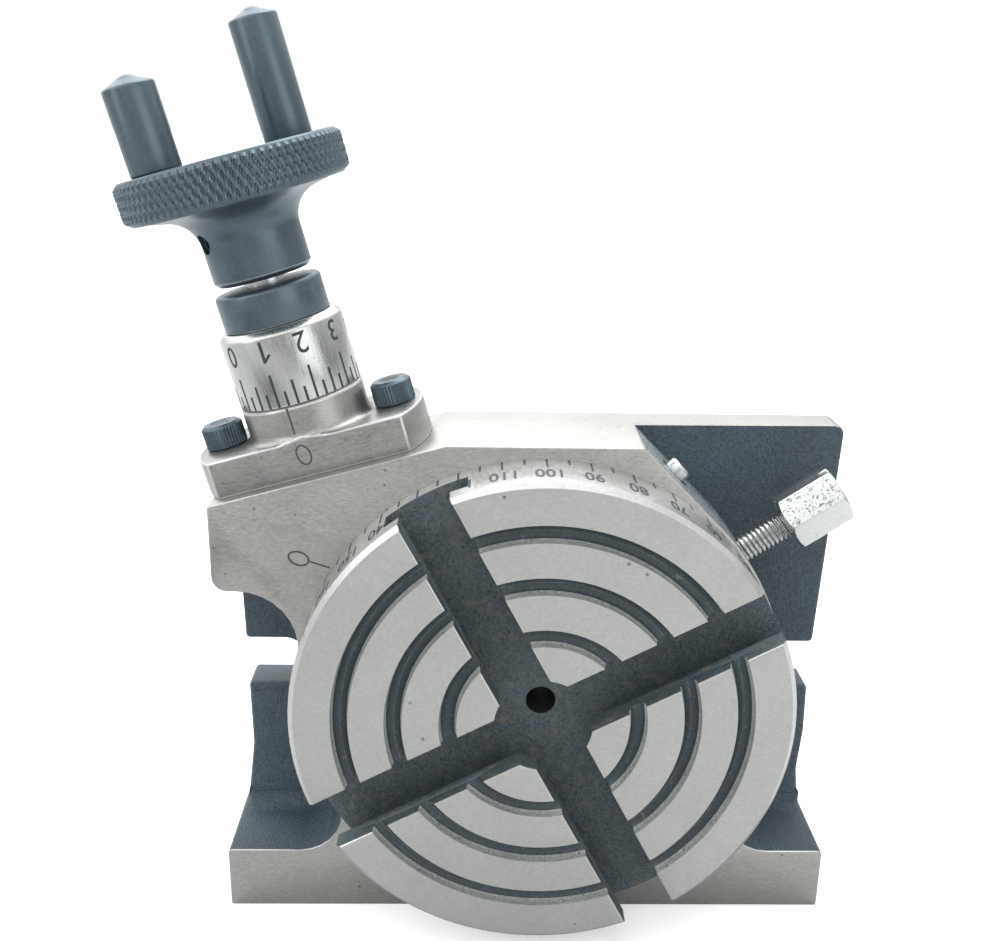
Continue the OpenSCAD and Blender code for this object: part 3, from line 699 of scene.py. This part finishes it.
def cap_screw_head(ridges, head_r, head_h, key_r):
    """A knurled cap screw with a hexagon socket, its seat at height 0."""
    bm = bmesh.new()
    chamfer, brim, valley = 0.35 * MM, 0.75 * MM, 0.955
    key_turn, key_depth = math.radians(17), 2.5 * MM
    shank_r, shank_l = 2.1 * MM, 20 * MM

    def narrowed(radius, height):
        return lambda p: Vector((*(p.xy.normalized() * radius), height))

    foot = ring_of(bm, 2 * ridges, head_r - chamfer, 0)
    bmesh.ops.edgeloop_fill(bm, edges=foot)
    low = extruded_ring(bm, foot, shifted(0.3 * MM, head_r / (head_r - chamfer)))
    top = extruded_ring(bm, low, shifted(head_h - 1.0 * MM))
    for loop in (low, top):
        for vert in {v for e in loop for v in e.verts}:
            step = round(math.atan2(vert.co.y, vert.co.x) / (math.pi / ridges))
            if step % 2:
                vert.co.xy *= valley
    crown = extruded_ring(bm, top, narrowed(head_r - chamfer, head_h - 0.35 * MM))
    brim_ring = extruded_ring(bm, crown, narrowed(head_r - brim, head_h))
    socket = ring_of(bm, 6, key_r, head_h, key_turn)
    bmesh.ops.bridge_loops(bm, edges=brim_ring + socket)
    deep = extruded_ring(bm, socket, shifted(-key_depth))
    bmesh.ops.edgeloop_fill(bm, edges=deep)
    bmesh.ops.create_cone(bm, cap_ends=True, segments=24, radius1=shank_r, radius2=shank_r, depth=shank_l,
                          matrix=Matrix.Translation((0, 0, 0.1 * MM - shank_l / 2)))
    bmesh.ops.recalc_face_normals(bm, faces=bm.faces)
    return bm


def build_cap_screws(knurl):
    bm = bmesh.new()
    head_r, head_h, key_r, turned = 4.25 * MM, 5 * MM, 2.31 * MM, 0.5
    seat = station("sleeve_cap_screws", 1) - head_h
    for side in (-1, 1):
        matrix = (WORM @ Matrix.Translation((side * SCREW_OUT, 0, seat))
                  @ Matrix.Rotation(side * turned, 4, "Z"))
        join(bm, cap_screw_head(knurl.screw_ridges, head_r, head_h, key_r), lambda point: matrix @ point)
    piece("cap_screws_knurled", bm, ["black_oxide"], "body", ["sleeve_cap_screws"], smooth=20)


def build_dial(edges, sizes):
    """The dial: forty divisions, four to a numbered degree, the numbers upside down as seen from the
    front."""
    edged_copy("dial_finish", "dial", "satin_steel", "dial_ring", edges.turned, "bright_edge")
    bm = bmesh.new()
    low, high = station("dial", 0), station("dial", 1)
    divisions, lines = 40, (6.6 * MM, 2.9 * MM, 4.8 * MM, 2.9 * MM)
    line_start, digits_at = low + 0.25 * MM, high - 3.9 * MM
    flag_length, flag_lean = 1.7 * MM, -0.8
    flag_at = (-1.35 * MM, sizes.dial_digits / 2 - 1.5 * MM, 0)
    for step in range(divisions):
        turn = math.radians(DIAL_PHASE + 360 / divisions * step)
        degree, quarter = divmod(step, 4)
        join(bm, bar(sizes.line, lines[quarter], sizes.ink), round_the(WORM, DIAL_R, turn, line_start))
        if quarter:
            continue
        word = lettering(str(degree), sizes.dial_digits, 0.95, sizes.ink, 0.004)
        slice_along(word, 0.4 * MM)
        digit = round_the(WORM, DIAL_R, turn, digits_at, True)
        join(bm, word, digit)
        if degree == 1:
            flag = Matrix.Translation(flag_at) @ Matrix.Rotation(flag_lean, 4, "Z")
            join(bm, bar(sizes.line, flag_length, sizes.ink), lambda point: digit(flag @ point))
    piece("dial_scale", bm, ["scale_ink"], "dial_ring")


def build_handwheel(edges, knurl):
    """The collar, the handles and the wheel, whose rim is drawn in under the band that carries the knurls."""
    fine_edge, overlap = 0.15 * MM, 0.03 * MM
    edged_copy("lock_collar_finish", "lock_collar", "black_oxide", "worm", edges.turned,
               "oxide_edge")
    for node in ("handle_short", "handle_long"):
        edged_copy(node + "_finish", node, "black_oxide", "worm", fine_edge)
    bm = node_mesh("handwheel")
    to_worm = WORM.inverted()
    rim_r = max(math.hypot(*(to_worm @ v.co).xy) for v in bm.verts)
    band_r = rim_r - knurl.depth
    band = []
    for vert in bm.verts:
        at = to_worm @ vert.co
        reach = math.hypot(at.x, at.y)
        if reach > rim_r - 0.05 * MM:
            band.append(at.z)
            at.xy *= (band_r - overlap) / reach
            vert.co = WORM @ at
    mark_faces(bm, lambda centre, normal: 0)
    hub_end = station("handwheel", 0)
    break_edges(bm, fine_edge, 1, lambda e: (to_worm @ e.verts[0].co).z < hub_end + 2 * MM)
    piece("handwheel_finish", bm, ["black_oxide", "oxide_edge"], "worm", ["handwheel"])
    build_knurl(knurl, band_r, min(band) - 0.7 * MM, max(band) + 0.6 * MM)


def build_knurl(knurl, radius, low, high):
    """Diamond knurling: deep grooves leaning one way, shallower ones the other, wrapped round the rim."""
    count, rows, cuts = knurl.pitch_count, knurl.rows, 6
    flank = 0.55
    wide = 2 * math.pi * radius / count
    tall = (high - low) / rows
    bm = bmesh.new()
    bmesh.ops.create_grid(bm, x_segments=count * cuts, y_segments=rows * cuts, size=1)

    def ridge(share):
        return min(1.0, (1 - abs(2 * (share % 1.0) - 1)) / flank)

    for vert in bm.verts:
        u, v = (vert.co.x + 1) / 2 * count, (vert.co.y + 1) / 2 * rows
        height = knurl.depth * min(ridge(u + v), 0.5 + 0.5 * ridge(u - v))
        at_end = min(v, rows - v) < 0.5 / cuts
        vert.co = Vector((u * wide, v * tall, 0 if at_end else height))
    ends = [e for e in bm.edges if e.is_boundary and abs(e.verts[0].co.y - e.verts[1].co.y) < 0.01 * MM]
    extruded_ring(bm, ends, shifted(-0.6 * MM))
    place = round_the(WORM, radius, 0, low)
    for vert in bm.verts:
        vert.co = place(vert.co)
    bmesh.ops.remove_doubles(bm, verts=bm.verts, dist=0.005 * MM)
    bmesh.ops.recalc_face_normals(bm, faces=bm.faces)
    piece("handwheel_knurl", bm, ["black_oxide"], "worm", smooth=6)


def spiral_thread(start, turns, pitch, crest, root):
    """A spiral thread along Z, closed at both ends."""
    steps = 24
    profile = [(root, 0), (root, 0.1), (crest, 0.44), (crest, 0.56), (root, 0.9), (root, 1.0)]
    bm = bmesh.new()
    verts = [bm.verts.new((r, 0, start + share * pitch)) for r, share in profile]
    edges = [bm.edges.new(pair) for pair in zip(verts, verts[1:])]
    bmesh.ops.spin(bm, geom=verts + edges, cent=(0, 0, 0), axis=(0, 0, 1), dvec=(0, 0, pitch / steps),
                   angle=2 * math.pi * turns, steps=turns * steps, use_merge=False, use_duplicate=False)
    bmesh.ops.remove_doubles(bm, verts=bm.verts, dist=0.002 * MM)
    bmesh.ops.holes_fill(bm, edges=[e for e in bm.edges if e.is_boundary], sides=0)
    bmesh.ops.recalc_face_normals(bm, faces=bm.faces)
    return bm


def build_lock_screw():
    """The slotted hexagon head from the CAD, every second side of it speckled, on a threaded shank."""
    plated, speckled, threaded = range(3)
    head_from = 61.2 * MM - 0.02 * MM
    bm = node_mesh("lock_screw")
    bmesh.ops.bisect_plane(bm, geom=everything(bm), dist=0.001 * MM, clear_inner=True,
                           plane_co=LOCK @ Vector((0, 0, head_from)),
                           plane_no=LOCK.to_3x3() @ Vector((0, 0, 1)))
    bmesh.ops.holes_fill(bm, edges=[e for e in bm.edges if e.is_boundary], sides=0)
    to_lock = LOCK.inverted().to_3x3()

    def rule(centre, facing):
        out = to_lock @ facing
        side = round(math.degrees(math.atan2(out.y, out.x)) / 60 - 0.4) % 6
        return speckled if abs(out.z) < 0.3 and side % 2 == 1 else plated

    mark_faces(bm, rule)
    break_edges(bm, 0.2 * MM, plated)
    thread = spiral_thread(33 * MM, 28, 1.0 * MM, 2.95 * MM, 2.42 * MM)
    mark_faces(thread, lambda centre, facing: threaded)
    join(bm, thread, lambda point: LOCK @ point)
    piece("lock_screw_threaded", bm, ["zinc_plate", "zinc_speckle", "thread_zinc"],
          "lock_screw_body", ["lock_screw"])


CAD_FINISHES = {
    "rear_cover": "turned_iron", "rear_cover_screws": "black_oxide", "worm_wheel": "bronze",
    "wheel_dowels": "bright_steel", "clamp_washer": "bright_steel", "spindle_nut": "bright_steel",
    "nut_grub_screw": "black_oxide", "worm_shaft": "bright_steel", "thrust_washer": "bronze",
    "tail_bush": "bronze", "dial_friction_ring": "bronze", "collar_grub_screw": "black_oxide",
    "handwheel_grub_screw": "black_oxide", "lock_pad": "bronze", "oiler_cup": "zinc_plate",
    "oiler_spring": "bright_steel", "oiler_ball": "zinc_plate",
}


def dress_cad_nodes():
    """Gives the small and inner CAD nodes their material; they keep their shape."""
    for node, material in CAD_FINISHES.items():
        NODES[node].data.materials.clear()
        NODES[node].data.materials.append(FINISHES[material])


# ------------------------------------------------------------------ stage

CAMERA_WAY = (-1.491, 18.828)
CAMERA_ROLL = 1.06
CAMERA_OFF = 219.02 * MM
CAMERA_AIM = (-8.137 * MM, 45.12 * MM)
CAMERA_LENS = 42.97
CAMERA_SHIFT = (-0.0058, 0.0376)
WHITE = (1, 1, 1, 1)


def parts_of(tree, kind):
    """X, Y and Z of a texture coordinate."""
    place = add(tree, "ShaderNodeTexCoord").outputs[kind]
    return add(tree, "ShaderNodeSeparateXYZ", {0: place}).outputs


def glow_towards(tree, way, power):
    """A soft round glow in the sky towards one side."""
    seen = add(tree, "ShaderNodeTexCoord").outputs["Generated"]
    near = add(tree, "ShaderNodeVectorMath", {0: seen, 1: Vector(way).normalized()},
               operation="DOT_PRODUCT").outputs["Value"]
    return ranged(tree, near, 0.9, 0.985, 0.0, power, "SMOOTHSTEP")


def build_world(sizes):
    """A white room: brighter above and behind, darker on the right, plain white to the camera."""
    world = bpy.data.worlds.new("studio")
    bpy.context.scene.world = world
    world.use_nodes = True
    tree = world.node_tree
    tree.nodes.clear()
    way = parts_of(tree, "Generated")
    rise = ranged(tree, way["Z"], 0.02, 0.55, 0.62, 1.75, "SMOOTHSTEP")
    behind = ranged(tree, way["Y"], -0.2, 0.9, 0.85, 1.45)
    right = ranged(tree, way["X"], -0.4, 0.8, 1.1, 0.6)
    power = reckon(tree, "MULTIPLY", reckon(tree, "MULTIPLY", rise, behind), right)
    power = reckon(tree, "ADD", power, glow_towards(tree, (0.72, -0.69, 0.05), sizes.right_glow))
    room = add(tree, "ShaderNodeBackground", {"Color": WHITE, "Strength": power})
    seen = add(tree, "ShaderNodeBackground", {"Color": WHITE, "Strength": 1.0})
    ray = add(tree, "ShaderNodeLightPath").outputs["Is Camera Ray"]
    mixed = add(tree, "ShaderNodeMixShader", {0: ray, 1: room.outputs[0], 2: seen.outputs[0]})
    tree.links.new(mixed.outputs[0], add(tree, "ShaderNodeOutputWorld").inputs["Surface"])


def soft_box(name, place, target, width, height, power):
    light = bpy.data.lights.new(name, "AREA")
    light.shape = "RECTANGLE"
    light.size, light.size_y, light.energy = width, height, power
    lamp = bpy.data.objects.new(name, light)
    bpy.context.scene.collection.objects.link(lamp)
    lamp.location = place
    lamp.rotation_euler = (Vector(target) - Vector(place)).to_track_quat("-Z", "Y").to_euler()


def build_camera():
    """The view: 219 mm from a point above the table face, looking down a little, tilted about one degree."""
    azimuth, elevation = (math.radians(angle) for angle in CAMERA_WAY)
    back = Vector((math.sin(azimuth) * math.cos(elevation), -math.cos(azimuth) * math.cos(elevation),
                   math.sin(elevation)))
    data = bpy.data.cameras.new("camera")
    data.sensor_width = 36
    data.lens = CAMERA_LENS
    data.shift_x, data.shift_y = CAMERA_SHIFT
    data.clip_start, data.clip_end = 0.01, 50
    camera = bpy.data.objects.new("camera", data)
    bpy.context.scene.collection.objects.link(camera)
    target = Vector((CAMERA_AIM[0], FACE_Y, CENTRE.z + CAMERA_AIM[1]))
    roll = Matrix.Rotation(math.radians(CAMERA_ROLL), 4, "Z")
    turn = back.to_track_quat("Z", "Y").to_matrix().to_4x4() @ roll
    camera.matrix_world = Matrix.Translation(target + back * CAMERA_OFF) @ turn
    bpy.context.scene.camera = camera


def spot_on_floor(tree, centre, inner, outer, level):
    """A factor that is level at centre and 1 beyond the outer distance."""
    place = add(tree, "ShaderNodeTexCoord").outputs["Object"]
    away = add(tree, "ShaderNodeVectorMath", {0: place, 1: centre}, operation="DISTANCE").outputs["Value"]
    return ranged(tree, away, inner, outer, level, 1.0, "SMOOTHSTEP")


def floor_paper(sizes):
    """Pale paper to the camera. To the metal that mirrors it, it is dimmer, with a painted dark spot and a
    painted bright spot: painted reflections that only the metal shows.
    """
    material = bpy.data.materials.new("floor_paper")
    material.use_nodes = True
    tree = material.node_tree
    shader = tree.nodes["Principled BSDF"]
    ray = add(tree, "ShaderNodeLightPath").outputs["Is Camera Ray"]
    way = parts_of(tree, "Object")
    # painted reflection: for all but camera rays the floor dims across its width and carries a painted dark
    # spot and a painted bright spot, which darken and brighten what the metal mirrors
    aside = reckon(tree, "MULTIPLY_ADD", way["X"], 0.45, way["Y"])
    depth = ranged(tree, aside, -0.3, 0.25)
    level = reckon(tree, "MULTIPLY_ADD", depth, sizes.floor_mirrored * 0.6, sizes.floor_mirrored)
    dark = spot_on_floor(tree, (-0.22, -0.2, 0), 0.03, 0.17, 0.3)
    bright = spot_on_floor(tree, (0.3, -0.5, 0), 0.05, 0.35, 2.0)
    painted_reflection = reckon(tree, "MULTIPLY", reckon(tree, "MULTIPLY", level, dark), bright, clamp=True)
    tree.links.new(blend_colour(tree, ray, painted_reflection, opaque(sizes.floor_colour)), shader.inputs["Base Color"])
    shader.inputs["Roughness"].default_value = 0.9
    shader.inputs["Emission Color"].default_value = WHITE
    tree.links.new(reckon(tree, "MULTIPLY", ray, sizes.floor_glow), shader.inputs["Emission Strength"])
    return material


def build_stage(sizes):
    """The floor, the room, two soft boxes and the camera."""
    bm = bmesh.new()
    bmesh.ops.create_grid(bm, x_segments=1, y_segments=1, size=sizes.floor_size / 2)
    mesh = bpy.data.meshes.new("floor")
    bm.to_mesh(mesh)
    bm.free()
    mesh.materials.append(floor_paper(sizes))
    floor = bpy.data.objects.new("floor", mesh)
    bpy.context.scene.collection.objects.link(floor)
    build_world(sizes)
    soft_box("key", (0.1, 0.25, 0.9), (0, 0, 0.05), 0.7, 0.6, sizes.key_power)
    soft_box("left", (-0.75, -0.45, 0.35), (0, 0, 0.08), 0.25, 0.7, sizes.side_power)
    build_camera()
    bpy.context.scene.view_settings.view_transform = "Standard"


# ------------------------------------------------------------------ operators

class OBJECT_OT_rotary_stage(bpy.types.Operator):
    """Floor, soft light and camera"""
    bl_idname = "object.rotary_stage"
    bl_label = "Stage"

    def execute(self, context):
        build_stage(context.scene.rotary_stage)
        return {"FINISHED"}


class OBJECT_OT_rotary_finishes(bpy.types.Operator):
    """Materials of every finish, and the small parts that keep their CAD shape"""
    bl_idname = "object.rotary_finishes"
    bl_label = "Finishes and small parts"

    def execute(self, context):
        make_finishes(context.scene.rotary_colours)
        dress_cad_nodes()
        return {"FINISHED"}


class OBJECT_OT_rotary_casting(bpy.types.Operator):
    """Body casting with milled faces, paint and its datum mark"""
    bl_idname = "object.rotary_casting"
    bl_label = "Body casting"

    def execute(self, context):
        build_casting(context.scene.rotary_edges)
        build_datum(context.scene.rotary_scales)
        return {"FINISHED"}


class OBJECT_OT_rotary_table(bpy.types.Operator):
    """Slotted table and the scale on its rim"""
    bl_idname = "object.rotary_table"
    bl_label = "Table and rim scale"

    def execute(self, context):
        build_table(context.scene.rotary_edges)
        build_rim_scale(context.scene.rotary_scales)
        return {"FINISHED"}


class OBJECT_OT_rotary_sleeve(bpy.types.Operator):
    """Worm sleeve with its index mark and its two cap screws"""
    bl_idname = "object.rotary_sleeve"
    bl_label = "Worm sleeve"

    def execute(self, context):
        build_sleeve(context.scene.rotary_edges)
        build_index(context.scene.rotary_scales)
        build_cap_screws(context.scene.rotary_knurl)
        return {"FINISHED"}


class OBJECT_OT_rotary_dial(bpy.types.Operator):
    """Graduated dial"""
    bl_idname = "object.rotary_dial"
    bl_label = "Dial"

    def execute(self, context):
        build_dial(context.scene.rotary_edges, context.scene.rotary_scales)
        return {"FINISHED"}


class OBJECT_OT_rotary_handwheel(bpy.types.Operator):
    """Knurled handwheel with its handles and the collar below it"""
    bl_idname = "object.rotary_handwheel"
    bl_label = "Handwheel"

    def execute(self, context):
        build_handwheel(context.scene.rotary_edges, context.scene.rotary_knurl)
        return {"FINISHED"}


class OBJECT_OT_rotary_lock(bpy.types.Operator):
    """Threaded lock screw with a slotted hexagon head"""
    bl_idname = "object.rotary_lock"
    bl_label = "Lock screw"

    def execute(self, context):
        build_lock_screw()
        return {"FINISHED"}


GROUPS_OF_SIZES = {
    "rotary_stage": StageSizes, "rotary_colours": FinishColours, "rotary_edges": EdgeSizes,
    "rotary_scales": ScaleSizes, "rotary_knurl": KnurlSizes,
}
OPERATORS = (
    OBJECT_OT_rotary_stage, OBJECT_OT_rotary_finishes, OBJECT_OT_rotary_casting, OBJECT_OT_rotary_table,
    OBJECT_OT_rotary_sleeve, OBJECT_OT_rotary_dial, OBJECT_OT_rotary_handwheel, OBJECT_OT_rotary_lock,
)


class VIEW3D_PT_rotary_table(bpy.types.Panel):
    """Builds the rotary table piece by piece"""
    bl_label = "Rotary table"
    bl_space_type = "VIEW_3D"
    bl_region_type = "UI"
    bl_category = "Rotary table"

    def draw(self, context):
        for operator in OPERATORS:
            self.layout.operator(operator.bl_idname)
        for name, group in GROUPS_OF_SIZES.items():
            box = self.layout.box()
            for key in group.__annotations__:
                box.prop(getattr(context.scene, name), key)


def register():
    for group in GROUPS_OF_SIZES.values():
        bpy.utils.register_class(group)
    for name, group in GROUPS_OF_SIZES.items():
        setattr(bpy.types.Scene, name, bpy.props.PointerProperty(type=group))
    for operator in OPERATORS:
        bpy.utils.register_class(operator)
    bpy.utils.register_class(VIEW3D_PT_rotary_table)


def unregister():
    bpy.utils.unregister_class(VIEW3D_PT_rotary_table)
    for operator in reversed(OPERATORS):
        bpy.utils.unregister_class(operator)
    for name, group in GROUPS_OF_SIZES.items():
        delattr(bpy.types.Scene, name)
        bpy.utils.unregister_class(group)


def main():
    register()
    bpy.ops.object.rotary_stage()
    bpy.ops.object.rotary_finishes()
    bpy.ops.object.rotary_casting()
    bpy.ops.object.rotary_table()
    bpy.ops.object.rotary_sleeve()
    bpy.ops.object.rotary_dial()
    bpy.ops.object.rotary_handwheel()
    bpy.ops.object.rotary_lock()


if __name__ == "__main__":
    main()
